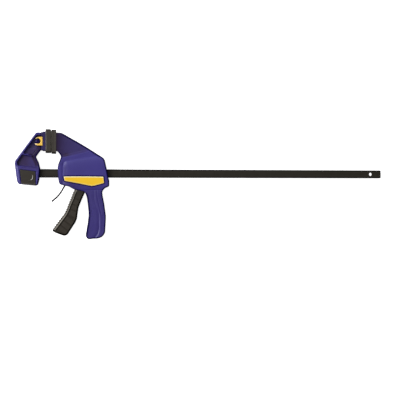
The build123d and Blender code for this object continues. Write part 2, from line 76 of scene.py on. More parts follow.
def world(v):
    return ((v[0]) / 1000.0, (v[1] - Y0) / 1000.0, v[2] / 1000.0)


# ============================================================ camera
cam_data = bpy.data.cameras.new("camera")
cam = bpy.data.objects.new("camera", cam_data)
bpy.context.scene.collection.objects.link(cam)
bpy.context.scene.camera = cam
cam_data.sensor_width = 36.0
cam_data.lens = 836.0 * 36.0 / 400.0
cam_data.clip_start, cam_data.clip_end = 0.05, 20.0
YAW = math.atan((200.0 - 57.1) / 836.0)
cam.location = world((12.7, -13.5, 1900.0))
right = Vector((math.cos(YAW), 0.0, math.sin(YAW)))
back = Vector((-math.sin(YAW), 0.0, math.cos(YAW)))
up = back.cross(right)
PITCH = math.atan((200.0 - 179.69) / 836.0)
back, up = back * math.cos(PITCH) + up * math.sin(PITCH), up * math.cos(PITCH) - back * math.sin(PITCH)
ROLL = 0.0019
right, up = right * math.cos(ROLL) + up * math.sin(ROLL), up * math.cos(ROLL) - right * math.sin(ROLL)
m = cam.matrix_world.copy()
for r in range(3):
    m[r][0], m[r][1], m[r][2] = right[r], up[r], back[r]
m[0][3], m[1][3], m[2][3] = cam.location
cam.matrix_world = m

# ============================================================ fields
def arc_corners(points, r, steps=5):
    """Points of the closed outline with each corner rounded by up to r."""
    out = []
    n = len(points)
    for i in range(n):
        (ax, ay), (bx, by), (cx, cy) = points[i - 1], points[i], points[(i + 1) % n]
        l1, l2 = math.hypot(bx - ax, by - ay), math.hypot(cx - bx, cy - by)
        u, v = ((ax - bx) / l1, (ay - by) / l1), ((cx - bx) / l2, (cy - by) / l2)
        turn = math.pi - math.acos(max(-1.0, min(1.0, u[0] * v[0] + u[1] * v[1])))
        if turn < 0.03 or r <= 0:
            out.append((bx, by))
            continue
        t = min(r * math.tan(turn / 2), 0.47 * l1, 0.47 * l2)
        p0 = (bx + u[0] * t, by + u[1] * t)
        p2 = (bx + v[0] * t, by + v[1] * t)
        for k in range(steps + 1):
            s = k / steps
            # quadratic curve through the corner's tangents
            out.append(((1 - s) ** 2 * p0[0] + 2 * s * (1 - s) * bx + s * s * p2[0],
                        (1 - s) ** 2 * p0[1] + 2 * s * (1 - s) * by + s * s * p2[1]))
    return out


def poly(points, r, X, Y):
    """Signed distance to a closed outline, below zero inside."""
    pts = arc_corners(points, r)
    best = np.full(X.shape, 1e12)
    inside = np.zeros(X.shape, bool)
    n = len(pts)
    for i in range(n):
        ax, ay = pts[i - 1]
        bx, by = pts[i]
        ex, ey = bx - ax, by - ay
        L = ex * ex + ey * ey
        if L < 1e-12:
            continue
        wx, wy = X - ax, Y - ay
        t = np.clip((wx * ex + wy * ey) / L, 0, 1)
        best = np.minimum(best, (wx - t * ex) ** 2 + (wy - t * ey) ** 2)
        if abs(ey) > 1e-12:
            inside ^= ((ay > Y) != (by > Y)) & (X < ex * (Y - ay) / ey + ax)
    return np.where(inside, -1.0, 1.0) * np.sqrt(best)


def path_dist(points, X, Y):
    """Distance to an open line, and which side of it a point lies on."""
    best = np.full(X.shape, 1e12)
    side = np.zeros(X.shape)
    for (ax, ay), (bx, by) in zip(points[:-1], points[1:]):
        ex, ey = bx - ax, by - ay
        t = np.clip(((X - ax) * ex + (Y - ay) * ey) / (ex * ex + ey * ey), 0, 1)
        dx, dy = X - ax - t * ex, Y - ay - t * ey
        d = dx * dx + dy * dy
        near = d < best
        side = np.where(near, np.sign(ex * dy - ey * dx), side)
        best = np.minimum(best, d)
    return np.sqrt(best), side


def along_path(points, X, Y):
    """Distance run along an open line to the point of it that is nearest."""
    best = np.full(X.shape, 1e12)
    run = np.zeros(X.shape)
    s0 = 0.0
    for (ax, ay), (bx, by) in zip(points[:-1], points[1:]):
        ex, ey = bx - ax, by - ay
        L = math.hypot(ex, ey)
        t = np.clip(((X - ax) * ex + (Y - ay) * ey) / (L * L), 0, 1)
        dx, dy = X - ax - t * ex, Y - ay - t * ey
        d = dx * dx + dy * dy
        near = d < best
        run = np.where(near, s0 + t * L, run)
        best = np.minimum(best, d)
        s0 += L
    return run


def smooth(a, b, x):
    t = np.clip((x - a) / (b - a), 0, 1)
    return t * t * (3 - 2 * t)


def rounded_pair(p, q, r):
    """Intersection of two fields with a rounded edge of radius r."""
    return np.minimum(np.maximum(p + r, q + r), 0) \
        + np.hypot(np.maximum(p + r, 0), np.maximum(q + r, 0)) - r


def cut(a, b, r=0.0):
    """a with b taken away."""
    if r <= 0:
        return np.maximum(a, -b)
    return rounded_pair(a, -b, r)


def join(a, b, r=0.0):
    if r <= 0:
        return np.minimum(a, b)
    return -rounded_pair(-a, -b, r)


def box3(X, Y, Z, lo, hi):
    c = [(a + b) / 2 for a, b in zip(lo, hi)]
    h = [(b - a) / 2 for a, b in zip(lo, hi)]
    q = [np.abs(X - c[0]) - h[0], np.abs(Y - c[1]) - h[1], np.abs(Z - c[2]) - h[2]]
    return np.maximum(np.maximum(q[0], q[1]), q[2])


def nets(name, lo, hi, h, field):
    """Closed quad mesh of the surface where field(X, Y, Z) is zero."""
    lo = np.array(lo, float) - 2 * h
    n = [int(math.ceil((b + 2 * h - a) / h)) + 1 for a, b in zip(lo, hi)]
    ax = [lo[i] + h * np.arange(n[i]) for i in range(3)]
    X2, Y2 = np.meshgrid(ax[0], ax[1], indexing="ij")
    F = field(X2[:, :, None], Y2[:, :, None], ax[2][None, None, :])
    F = np.ascontiguousarray(np.broadcast_to(F, n), dtype=np.float32)
    F = np.where(np.abs(F) < 1e-6, 1e-6, F)
    S = F < 0
    nx, ny, nz = n
    cnt = np.zeros((nx - 1, ny - 1, nz - 1), np.int8)
    for i in (0, 1):
        for j in (0, 1):
            for k in (0, 1):
                cnt += S[i:nx - 1 + i, j:ny - 1 + j, k:nz - 1 + k]
    act = (cnt > 0) & (cnt < 8)
    ids = np.argwhere(act)
    index = np.full(act.shape, -1, np.int32)
    index[act] = np.arange(len(ids), dtype=np.int32)
    pos = np.zeros((len(ids), 3))
    num = np.zeros(len(ids))
    corners = [(i, j, k) for i in (0, 1) for j in (0, 1) for k in (0, 1)]
    val = {c: F[ids[:, 0] + c[0], ids[:, 1] + c[1], ids[:, 2] + c[2]] for c in corners}
    for a in corners:
        for axis in range(3):
            if a[axis]:
                continue
            b = list(a)
            b[axis] = 1
            b = tuple(b)
            fa, fb = val[a], val[b]
            m_ = (fa < 0) != (fb < 0)
            t = fa[m_] / (fa[m_] - fb[m_])
            p = np.tile(np.array(a, float), (len(t), 1))
            p[:, axis] += t
            pos[m_] += p
            num[m_] += 1
    P = ids + pos / num[:, None]

    def sample(Q):
        q = np.clip(Q, 0, np.array(n) - 1.001)
        i = q.astype(int)
        f = q - i
        out = 0
        grad = np.zeros((len(Q), 3))
        for c in corners:
            v = F[i[:, 0] + c[0], i[:, 1] + c[1], i[:, 2] + c[2]]
            w = [f[:, d] if c[d] else 1 - f[:, d] for d in range(3)]
            s = [1.0 if c[d] else -1.0 for d in range(3)]
            out = out + v * w[0] * w[1] * w[2]
            grad[:, 0] += v * s[0] * w[1] * w[2]
            grad[:, 1] += v * s[1] * w[0] * w[2]
            grad[:, 2] += v * s[2] * w[0] * w[1]
        return out, grad

    start = P.copy()
    for _ in range(3):
        v, g = sample(P)
        g2 = np.maximum((g * g).sum(1), 0.05 * h * h)
        step = (v / g2)[:, None] * g
        P = P - np.clip(step, -0.4, 0.4) * 0.8
        P = np.clip(P, start - 0.75, start + 0.75)
    V = lo + P * h
    quads = []
    for axis in range(3):
        a1, a2 = (axis + 1) % 3, (axis + 2) % 3
        sl0 = [slice(None)] * 3
        sl1 = [slice(None)] * 3
        sl0[axis] = slice(0, n[axis] - 1)
        sl1[axis] = slice(1, n[axis])
        s0, s1 = S[tuple(sl0)], S[tuple(sl1)]
        e = np.argwhere(s0 != s1)
        e = e[(e[:, a1] > 0) & (e[:, a2] > 0) & (e[:, a1] < n[a1] - 1) & (e[:, a2] < n[a2] - 1)]
        inside_first = s0[e[:, 0], e[:, 1], e[:, 2]]
        q = []
        for o1, o2 in ((-1, -1), (0, -1), (0, 0), (-1, 0)):
            c = e.copy()
            c[:, a1] += o1
            c[:, a2] += o2
            q.append(index[c[:, 0], c[:, 1], c[:, 2]])
        q = np.stack(q, 1)
        q[~inside_first] = q[~inside_first][:, ::-1]
        quads.append(q)
    Q = np.concatenate(quads)
    return mesh_object(name, V, Q)


def mesh_object(name, V, Q):
    """Object from an array of millimetre points and one of quads."""
    W = np.empty_like(V, dtype=np.float64)
    W[:, 0] = V[:, 0] / 1000.0
    W[:, 1] = (V[:, 1] - Y0) / 1000.0
    W[:, 2] = V[:, 2] / 1000.0
    me = bpy.data.meshes.new(name)
    me.vertices.add(len(W))
    me.vertices.foreach_set("co", W.astype(np.float32).ravel())
    me.loops.add(len(Q) * 4)
    me.loops.foreach_set("vertex_index", Q.astype(np.int32).ravel())
    me.polygons.add(len(Q))
    me.polygons.foreach_set("loop_start", np.arange(0, 4 * len(Q), 4, dtype=np.int32))
    me.polygons.foreach_set("loop_total", np.full(len(Q), 4, dtype=np.int32))
    me.polygons.foreach_set("use_smooth", np.ones(len(Q), bool))
    me.update(calc_edges=True)
    me.validate()
    ob = bpy.data.objects.new(name, me)
    bpy.context.scene.collection.objects.link(ob)
    return ob


def flipped(ob, name):
    """Copy of a piece, mirrored to the other side of the bar."""
    me = ob.data.copy()
    co = np.empty(len(me.vertices) * 3, np.float32)
    me.vertices.foreach_get("co", co)
    co = co.reshape(-1, 3)
    co[:, 2] *= -1
    me.vertices.foreach_set("co", co.ravel())
    me.flip_normals()
    me.update()
    new = bpy.data.objects.new(name, me)
    bpy.context.scene.collection.objects.link(new)
    return new


# ============================================================ materials
def material(name, color, rough, build=None, metallic=0.0, coat=0.0, spec=0.35):
    mat = bpy.data.materials.new(name)
    mat.use_nodes = True
    nt = mat.node_tree
    bsdf = nt.nodes["Principled BSDF"]
    bsdf.inputs["Base Color"].default_value = (*color, 1.0)
    bsdf.inputs["Roughness"].default_value = rough
    bsdf.inputs["Metallic"].default_value = metallic
    bsdf.inputs["Coat Weight"].default_value = coat
    bsdf.inputs["Specular IOR Level"].default_value = spec
    if build:
        build(nt, bsdf)
    return mat


def add_noise(nt, scale, detail=3.0, rough=0.6, vec=None, stretch=None):
    tc = nt.nodes.new("ShaderNodeTexCoord")
    src = tc.outputs["Object"]
    if stretch is not None:
        mp = nt.nodes.new("ShaderNodeMapping")
        mp.inputs["Scale"].default_value = stretch
        nt.links.new(src, mp.inputs["Vector"])
        src = mp.outputs["Vector"]
    n = nt.nodes.new("ShaderNodeTexNoise")
    n.inputs["Scale"].default_value = scale
    n.inputs["Detail"].default_value = detail
    n.inputs["Roughness"].default_value = rough
    nt.links.new(src, n.inputs["Vector"])
    return n.outputs["Fac"]


def ramp(nt, fac, stops):
    r = nt.nodes.new("ShaderNodeValToRGB")
    el = r.color_ramp.elements
    el[0].position, el[0].color = stops[0][0], (*stops[0][1], 1.0)
    el[1].position, el[1].color = stops[-1][0], (*stops[-1][1], 1.0)
    for p, c in stops[1:-1]:
        e = el.new(p)
        e.color = (*c, 1.0)
    nt.links.new(fac, r.inputs["Fac"])
    return r.outputs["Color"]


def add_bump(nt, bsdf, fac, strength, distance, normal=None):
    b = nt.nodes.new("ShaderNodeBump")
    b.inputs["Strength"].default_value = strength
    b.inputs["Distance"].default_value = distance
    nt.links.new(fac, b.inputs["Height"])
    if normal is not None:
        nt.links.new(normal, b.inputs["Normal"])
    nt.links.new(b.outputs["Normal"], bsdf.inputs["Normal"])
    return b.outputs["Normal"]


def map_range(nt, fac, a, b, c, d):
    mr = nt.nodes.new("ShaderNodeMapRange")
    mr.inputs["From Min"].default_value = a
    mr.inputs["From Max"].default_value = b
    mr.inputs["To Min"].default_value = c
    mr.inputs["To Max"].default_value = d
    nt.links.new(fac, mr.inputs["Value"])
    return mr.outputs["Result"]


def lin(r, g, b):
    """Linear colour from screen values of 0 to 255."""
    f = lambda c: (c / 255.0) / 12.92 if c / 255.0 <= 0.04045 else ((c / 255.0 + 0.055) / 1.055) ** 2.4
    return (f(r), f(g), f(b))


def shade(c, k):
    return tuple(min(1.0, x * k) for x in c)


BLUE = lin(59, 50, 127)
YELLOW = lin(250, 201, 38)
RUBBER = lin(55, 49, 41)
GREY = lin(54, 48, 40)
# the strip's light grey is a painted highlight along its ribs and front edge; its valleys get painted shadow
STRIP_HIGHLIGHT = lin(156, 150, 140)
STEEL = lin(50, 46, 39)


def by_attribute(nt, col, name, other):
    """Colour that turns into another where a mesh attribute goes to 1."""
    at = nt.nodes.new("ShaderNodeAttribute")
    at.attribute_name = name
    mix = nt.nodes.new("ShaderNodeMix")
    mix.data_type = "RGBA"
    mix.inputs[7].default_value = (*other, 1.0)
    nt.links.new(at.outputs["Fac"], mix.inputs[0])
    nt.links.new(col, mix.inputs[6])
    return mix.outputs[2]


def dull(nt, bsdf, name, spec=0.35, low=0.02):
    """Less gloss where a mesh attribute goes to 1."""
    at = nt.nodes.new("ShaderNodeAttribute")
    at.attribute_name = name
    nt.links.new(map_range(nt, at.outputs["Fac"], 0.0, 0.9, spec, low), bsdf.inputs["Specular IOR Level"])


def set_attribute(ob, name, fun):
    """Mesh attribute from a function of the millimetre coordinates."""
    co = np.empty(len(ob.data.vertices) * 3, np.float32)
    ob.data.vertices.foreach_get("co", co)
    co = co.reshape(-1, 3).astype(float) * 1000.0
    at = ob.data.attributes.new(name, "FLOAT", "POINT")
    at.data.foreach_set("value", np.asarray(fun(co[:, 0], co[:, 1] + Y0, co[:, 2]),
                                            np.float32))


def plastic_build(base, fine=1.0, painted_glint=None, painted_shade=None, edge=None, key="painted_glint"):
    def build(nt, bsdf):
        big = add_noise(nt, 14.0, 3.0)
        col = ramp(nt, big, [(0.3, shade(base, 0.93)), (0.7, shade(base, 1.07))])
        # painted highlight: lighter colour where the given attribute goes to 1
        if painted_glint is not None:
            col = by_attribute(nt, col, key, painted_glint)
        # painted shade: turn darker where the shade attribute of the mesh goes to 1
        if painted_shade is not None:
            col = by_attribute(nt, col, "painted_shade", painted_shade)
        # painted shade: dark lines where the edge attribute goes to 1, with less gloss there
        if edge is not None:
            col = by_attribute(nt, col, "edge", edge)
            dull(nt, bsdf, "edge")
        nt.links.new(col, bsdf.inputs["Base Color"])
        scuff = add_noise(nt, 60.0, 4.0, 0.7)
        nt.links.new(map_range(nt, scuff, 0.3, 0.75, 0.36, 0.52), bsdf.inputs["Roughness"])
        grain = add_noise(nt, 1500.0, 2.0, 0.5)
        add_bump(nt, bsdf, grain, 0.16 * fine, 0.00012)
    return build


def clip_build(nt, bsdf):
    big = add_noise(nt, 40.0, 2.0)
    col = ramp(nt, big, [(0.3, lin(250, 200, 86)), (0.7, lin(255, 218, 110))])
    # painted highlight and painted shade laid in by mesh attributes
    col = by_attribute(nt, col, "painted_highlight", lin(255, 240, 205))
    nt.links.new(by_attribute(nt, col, "edge", lin(40, 30, 70)), bsdf.inputs["Base Color"])
    scuff = add_noise(nt, 90.0, 4.0, 0.7)
    nt.links.new(map_range(nt, scuff, 0.3, 0.75, 0.24, 0.36), bsdf.inputs["Roughness"])
    grain = add_noise(nt, 1300.0, 2.0, 0.5)
    add_bump(nt, bsdf, grain, 0.06, 0.0001)


def yellow_build(nt, bsdf):
    big = add_noise(nt, 20.0, 2.0)
    col = ramp(nt, big, [(0.3, shade(YELLOW, 0.95)), (0.7, shade(YELLOW, 1.03))])
    # painted highlight on the panel's border
    nt.links.new(by_attribute(nt, col, "painted_highlight", lin(255, 244, 190)), bsdf.inputs["Base Color"])
    scuff = add_noise(nt, 90.0, 4.0, 0.7)
    nt.links.new(map_range(nt, scuff, 0.3, 0.75, 0.28, 0.42), bsdf.inputs["Roughness"])
    grain = add_noise(nt, 1300.0, 2.0, 0.5)
    add_bump(nt, bsdf, grain, 0.06, 0.0001)


def rubber_build(base, painted_shadow=None, key="painted_shadow", lit=None):
    def build(nt, bsdf):
        big = add_noise(nt, 30.0, 4.0)
        col = ramp(nt, big, [(0.3, shade(base, 0.88)), (0.72, shade(base, 1.12))])
        # painted shade where the named attribute goes to 1, and a painted highlight where lit does
        if painted_shadow is not None:
            col = by_attribute(nt, col, key, painted_shadow)
            dull(nt, bsdf, key)
        if lit is not None:
            col = by_attribute(nt, col, "lit", lit)
        nt.links.new(col, bsdf.inputs["Base Color"])
        dust = add_noise(nt, 120.0, 5.0, 0.75)
        nt.links.new(map_range(nt, dust, 0.3, 0.75, 0.55, 0.8), bsdf.inputs["Roughness"])
        grain = add_noise(nt, 1100.0, 3.0, 0.6)
        add_bump(nt, bsdf, grain, 0.3, 0.00018)
    return build


def steel_build(edge, tone=1.0):
    def build(nt, bsdf):
        # black oxide on drawn flat bar: faint long grain and small lighter rubs
        streak = add_noise(nt, 90.0, 4.0, 0.6, stretch=(0.05, 6.0, 6.0))
        col = ramp(nt, streak, [(0.25, shade(STEEL, 0.8 * tone)), (0.5, shade(STEEL, tone)),
                                 (0.8, shade(STEEL, 1.3 * tone))])
        if edge:
            # painted shade: darker bands along the two edges of the bar, where they turn away from the light
            tc = nt.nodes.new("ShaderNodeTexCoord")
            sep = nt.nodes.new("ShaderNodeSeparateXYZ")
            nt.links.new(tc.outputs["Object"], sep.inputs["Vector"])
            add = nt.nodes.new("ShaderNodeMath")
            add.operation = "ADD"
            add.inputs[1].default_value = Y0 / 1000.0
            nt.links.new(sep.outputs["Y"], add.inputs[0])
            ab = nt.nodes.new("ShaderNodeMath")
            ab.operation = "ABSOLUTE"
            nt.links.new(add.outputs["Value"], ab.inputs[0])
            k = map_range(nt, ab.outputs["Value"], 0.0066, 0.0076, 0.0, 1.0)
            mix = nt.nodes.new("ShaderNodeMix")
            mix.data_type = "RGBA"
            mix.inputs[7].default_value = (*shade(STEEL, 0.06), 1.0)
            nt.links.new(k, mix.inputs[0])
            nt.links.new(col, mix.inputs[6])
            col = mix.outputs[2]
        nt.links.new(col, bsdf.inputs["Base Color"])
        spots = add_noise(nt, 160.0, 5.0, 0.7)
        nt.links.new(map_range(nt, spots, 0.35, 0.75, 0.34, 0.52), bsdf.inputs["Roughness"])
        add_bump(nt, bsdf, streak, 0.12, 0.0001)
    return build


def zinc_build(nt, bsdf):
    n = add_noise(nt, 300.0, 4.0, 0.6)
    nt.links.new(ramp(nt, n, [(0.3, lin(160, 160, 156)), (0.7, lin(196, 196, 190))]),
                 bsdf.inputs["Base Color"])
    nt.links.new(map_range(nt, n, 0.3, 0.7, 0.28, 0.42), bsdf.inputs["Roughness"])
    add_bump(nt, bsdf, n, 0.08, 0.0001)


M = {
    # blue castings and mouldings: painted shade, dark painted edge lines and, on the casting, a painted highlight, all
    # laid in by mesh attributes
    "cast": material("blue_casting", BLUE, 0.42,
                     plastic_build(BLUE, painted_shade=lin(48, 27, 54), edge=lin(18, 12, 64), painted_glint=lin(170, 168, 226), key="lit")),
    "blue": material("blue_moulding", BLUE, 0.42, plastic_build(BLUE, painted_shade=lin(46, 30, 50), edge=lin(18, 12, 64))),
    # the swivel plate is the same blue plastic in a darker copy: painted shade
    "plate": material("blue_plate_shaded", BLUE, 0.42, plastic_build(lin(41, 31, 83))),
    "yellow": material("yellow_moulding", YELLOW, 0.34, yellow_build),
    "clip": material("yellow_clip", YELLOW, 0.3, clip_build, spec=0.2),
    "pad": material("pad_rubber", RUBBER, 0.65, rubber_build(RUBBER, lin(8, 7, 5), "edge", lin(150, 146, 140))),
    "grey": material("grey_moulding", GREY, 0.5, plastic_build(GREY, edge=lin(16, 14, 10))),
    # the front cover's grey is darker than the back cover's: painted shade; its crescent gets a painted glint
    "cover": material("grey_cover_shaded", GREY, 0.5, plastic_build(shade(GREY, 0.88), painted_glint=lin(190, 188, 182))),
    "strip": material("strip_rubber", STRIP_HIGHLIGHT, 0.6, rubber_build(STRIP_HIGHLIGHT, lin(46, 42, 36))),
    "steel": material("black_oxide", STEEL, 0.4, steel_build(True), metallic=0.4),
    # the lever's black oxide is darkened far below the bar's: painted shade
    "lever": material("black_oxide_strip_shaded", shade(STEEL, 0.15), 0.5, steel_build(False, 0.15), metallic=0.1, spec=0.2),
    "zinc": material("zinc_plate", lin(180, 180, 176), 0.35, zinc_build, metallic=1.0),
}


def dress(ob, key):
    ob.data.materials.clear()
    ob.data.materials.append(M[key])


def place(ob, key, body, *nodes):
    dress(ob, key)
    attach(ob, body)
    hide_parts(*nodes)
    return ob


# ============================================================ outlines
fixed_pts = [
    (-70.8, -24.1), (-74.9, -17.2), (-77.3, 1.0), (-79.7, 22.5), (-78.5, 27.9),
    (-60.4, 52.9), (-34.6, 88.3), (-31.2, 90.5), (-20.6, 90.4), (-20.6, 51.2),
    (-23.3, 51.2), (-33.7, 36.6), (-27.6, 24.7), (-24.0, 10.0), (-26.1, -13.0),
    (-29.1, -25.4), (-33.9, -27.5), (-52.0, -25.8),
]
base_pts = [
    (-70.2, -23.6), (-74.2, -17.0), (-76.8, 1.0), (-78.7, 18.0), (-52.0, 15.2),
    (-26.0, 12.2), (-25.2, 9.7), (-27.4, -13.0), (-30.2, -25.0), (-34.0, -27.1),
    (-52.0, -25.4),
]
pocket_a = [
    (-61.4, 43.8), (-48.0, 62.2), (-33.4, 82.3), (-30.6, 84.4), (-12.0, 84.4),
    (-12.0, 58.6), (-28.4, 58.6), (-31.0, 53.5), (-38.6, 42.8), (-38.9, 40.3),
]
pocket_b = [
    (-63.0, 41.0), (-39.4, 37.5), (-35.6, 33.2), (-32.0, 24.0), (-29.8, 13.2),
    (-52.0, 14.8), (-72.9, 17.6), (-73.9, 25.5),
]
cover_cut_pts = [
    (-68.3, 8.7), (-33.9, 4.2), (-33.9, -32.0), (-65.2, -32.0), (-65.1, -23.4),
]
cover_pts = [
    (-68.2, 8.5), (-34.0, 4.1), (-34.0, -26.9), (-52.0, -25.2), (-64.9, -23.8),
]
clip_pts = [
    (-18.7, 81.2), (-22.0, 81.2), (-30.6, 80.2), (-33.6, 78.6), (-35.2, 77.0),
    (-34.6, 75.7), (-29.2, 75.7), (-29.2, 67.3), (-34.8, 67.3), (-36.0, 65.2),
    (-34.9, 63.3), (-31.0, 61.8), (-22.0, 61.2), (-18.7, 61.3),
]
housing_top = [
    (5.0, 90.6), (10.9, 90.6), (21.6, 90.6), (27.6, 87.8), (35.3, 83.4), (51.1, 74.6),
    (66.8, 65.7), (81.5, 56.8), (102.1, 43.4), (112.9, 36.6), (116.2, 33.8), (118.3, 29.7),
    (119.9, 22.8), (122.8, 9.5), (126.8, -11.1),
]
housing_back_edge = [
    (128.2, -15.7), (128.4, -27.3), (126.4, -30.0), (120.7, -32.0), (116.8, -34.8),
]
grip_edge = [
    (113.9, -38.8), (112.8, -43.0), (113.6, -49.6), (115.1, -57.5), (117.2, -67.7),
    (118.3, -76.7), (119.6, -85.8), (120.8, -94.9), (120.9, -102.0), (120.4, -109.6),
    (119.7, -120.9), (119.1, -132.7), (115.7, -138.9), (111.8, -142.7), (105.8, -145.3),
    (100.1, -146.4), (91.1, -146.7), (82.7, -147.7), (78.6, -145.8), (76.1, -140.9),
    (76.7, -137.3), (78.1, -130.6), (78.9, -123.8), (80.8, -114.8), (81.9, -105.4),
    (83.0, -95.5), (82.9, -86.8), (82.3, -81.2), (81.4, -70.1), (80.1, -60.9),
    (79.1, -54.2), (77.6, -48.6), (75.2, -43.9), (71.7, -40.0),
]
housing_front_edge = [
    (59.9, -37.9), (51.8, -36.5), (43.9, -32.5), (39.6, -29.7), (33.0, -28.1),
    (26.4, -26.6), (20.3, -25.2), (17.7, -22.8), (16.5, -19.2), (15.3, -10.6), (13.9, 4.0),
    (13.9, 14.1), (15.2, 20.2), (16.9, 24.8), (19.1, 30.2), (21.3, 36.1), (20.7, 40.1),
    (17.5, 44.9), (14.0, 49.0), (10.9, 50.0), (5.0, 50.0),
]
body_pts = housing_top + housing_back_edge + grip_edge + housing_front_edge
mid_pts = [
    (8.0, 36.6), (29.8, 38.4), (84.4, 51.7), (92.0, 58.0), (140.0, 58.0), (140.0, -60.0),
    (116.4, -36.0), (113.4, -38.6), (95.0, -38.4), (75.0, -41.0), (60.0, -60.0), (0.0, -60.0),
    (0.0, 36.0),
]
main_pts = [
    (25.9, -60.0), (26.8, 15.4), (28.2, 22.0), (31.6, 26.6), (50.0, 30.3),
    (85.5, 35.9), (106.0, 39.6), (140.0, 50.0), (140.0, -60.0), (116.0, -37.0), (95.0, -36.2), (75.0, -38.0),
    (60.0, -35.6), (50.0, -33.6), (44.0, -60.0),
]
grip_line = [(95.2, -28.1), (95.2, -41.5), (95.2, -57.2), (98.2, -70.7), (102.3, -81.9),
             (104.7, -90.8), (105.4, -99.8), (105.2, -113.2), (105.0, -126.7), (102.0, -135.7),
             (96.8, -143.4), (92.7, -149.0)]
grip_line2 = [(100.0, -37.0), (100.9, -50.5), (103.2, -59.4), (105.4, -70.7), (108.1, -81.9),
              (110.5, -90.9)]
bay_pts = [
    (20.0, -20.0), (19.0, 10.0), (23.0, 23.0), (27.0, 26.3), (46.0, 26.3),
    (47.5, 32.0), (92.0, 38.0), (108.0, 34.0), (113.0, 27.0), (113.0, -27.0),
    (108.5, -34.0), (107.0, -38.0), (50.5, -50.0), (50.5, -31.6), (44.0, -28.6),
    (33.0, -24.2), (22.0, -21.6),
]
channel_pts = [
    (50.5, -30.0), (98.0, -30.0), (97.0, -46.0), (98.0, -60.0), (98.5, -78.0),
    (98.0, -86.0), (76.0, -84.5), (50.5, -60.0),
]
lever_way_pts = [(26.2, -20.0), (40.4, -20.0), (40.4, -40.0), (20.5, -40.0), (24.0, -30.0)]
panel_pts = [(26.9, -6.7), (62.0, -6.6), (115.0, -6.9), (116.7, -21.3), (103.0, -25.1),
             (90.0, -28.4), (62.0, -22.8), (28.7, -16.6)]
trigger_pts = [
    (69.3, 27.0), (69.6, 31.0), (72.0, 34.4), (75.6, 35.6), (79.4, 35.3), (82.8, 32.8),
    (84.4, 28.0), (84.6, 18.0), (85.0, 8.0), (86.0, 1.0), (85.6, -3.0), (83.4, -8.0),
    (81.2, -15.0), (78.6, -26.0), (76.0, -36.0), (73.5, -44.0), (69.9, -51.9),
    (65.9, -60.9), (62.3, -69.9), (59.6, -77.3), (58.5, -85.1), (57.3, -92.2),
    (56.5, -100.3), (52.9, -109.4), (47.9, -117.1), (43.7, -123.8), (39.2, -130.5),
    (35.7, -136.3), (31.7, -138.6), (27.0, -139.3), (17.6, -135.7), (10.9, -133.0),
    (5.3, -130.7), (1.8, -127.3), (7.3, -118.2), (14.1, -109.2), (22.3, -98.2),
    (28.9, -89.4), (32.4, -82.0), (36.4, -71.5), (42.1, -58.0), (47.2, -44.6),
    (52.0, -36.0), (57.0, -24.0), (62.0, -12.0), (66.0, 2.0), (68.4, 14.0),
]
strip_outer = [
    (53.6, -31.5), (51.3, -36.0), (47.2, -44.6), (42.1, -58.0), (36.4, -71.5), (32.4, -82.0),
    (28.9, -89.4), (22.3, -98.2), (14.1, -109.2), (7.3, -118.2), (2.9, -125.2),
]
strip_inner = [(8.6, -127.6), (12.4, -121.6), (19.2, -112.8), (27.4, -101.8),
               (34.3, -92.4), (38.2, -84.2), (42.2, -73.9), (47.9, -60.4),
               (53.0, -47.0), (59.2, -33.4)]
SCREWS = [((24.0, 72.0), 10.3), ((60.0, 51.0), 9.2), ((52.2, 24.5), 17.0),
          ((101.5, 28.5), 17.0), ((46.2, -24.0), 17.0), ((104.0, -30.5), 17.0),
          ((99.5, -126.0), 15.0)]

H1 = 0.7       # step of the large mouldings
H2 = 0.45      # step of the small pieces


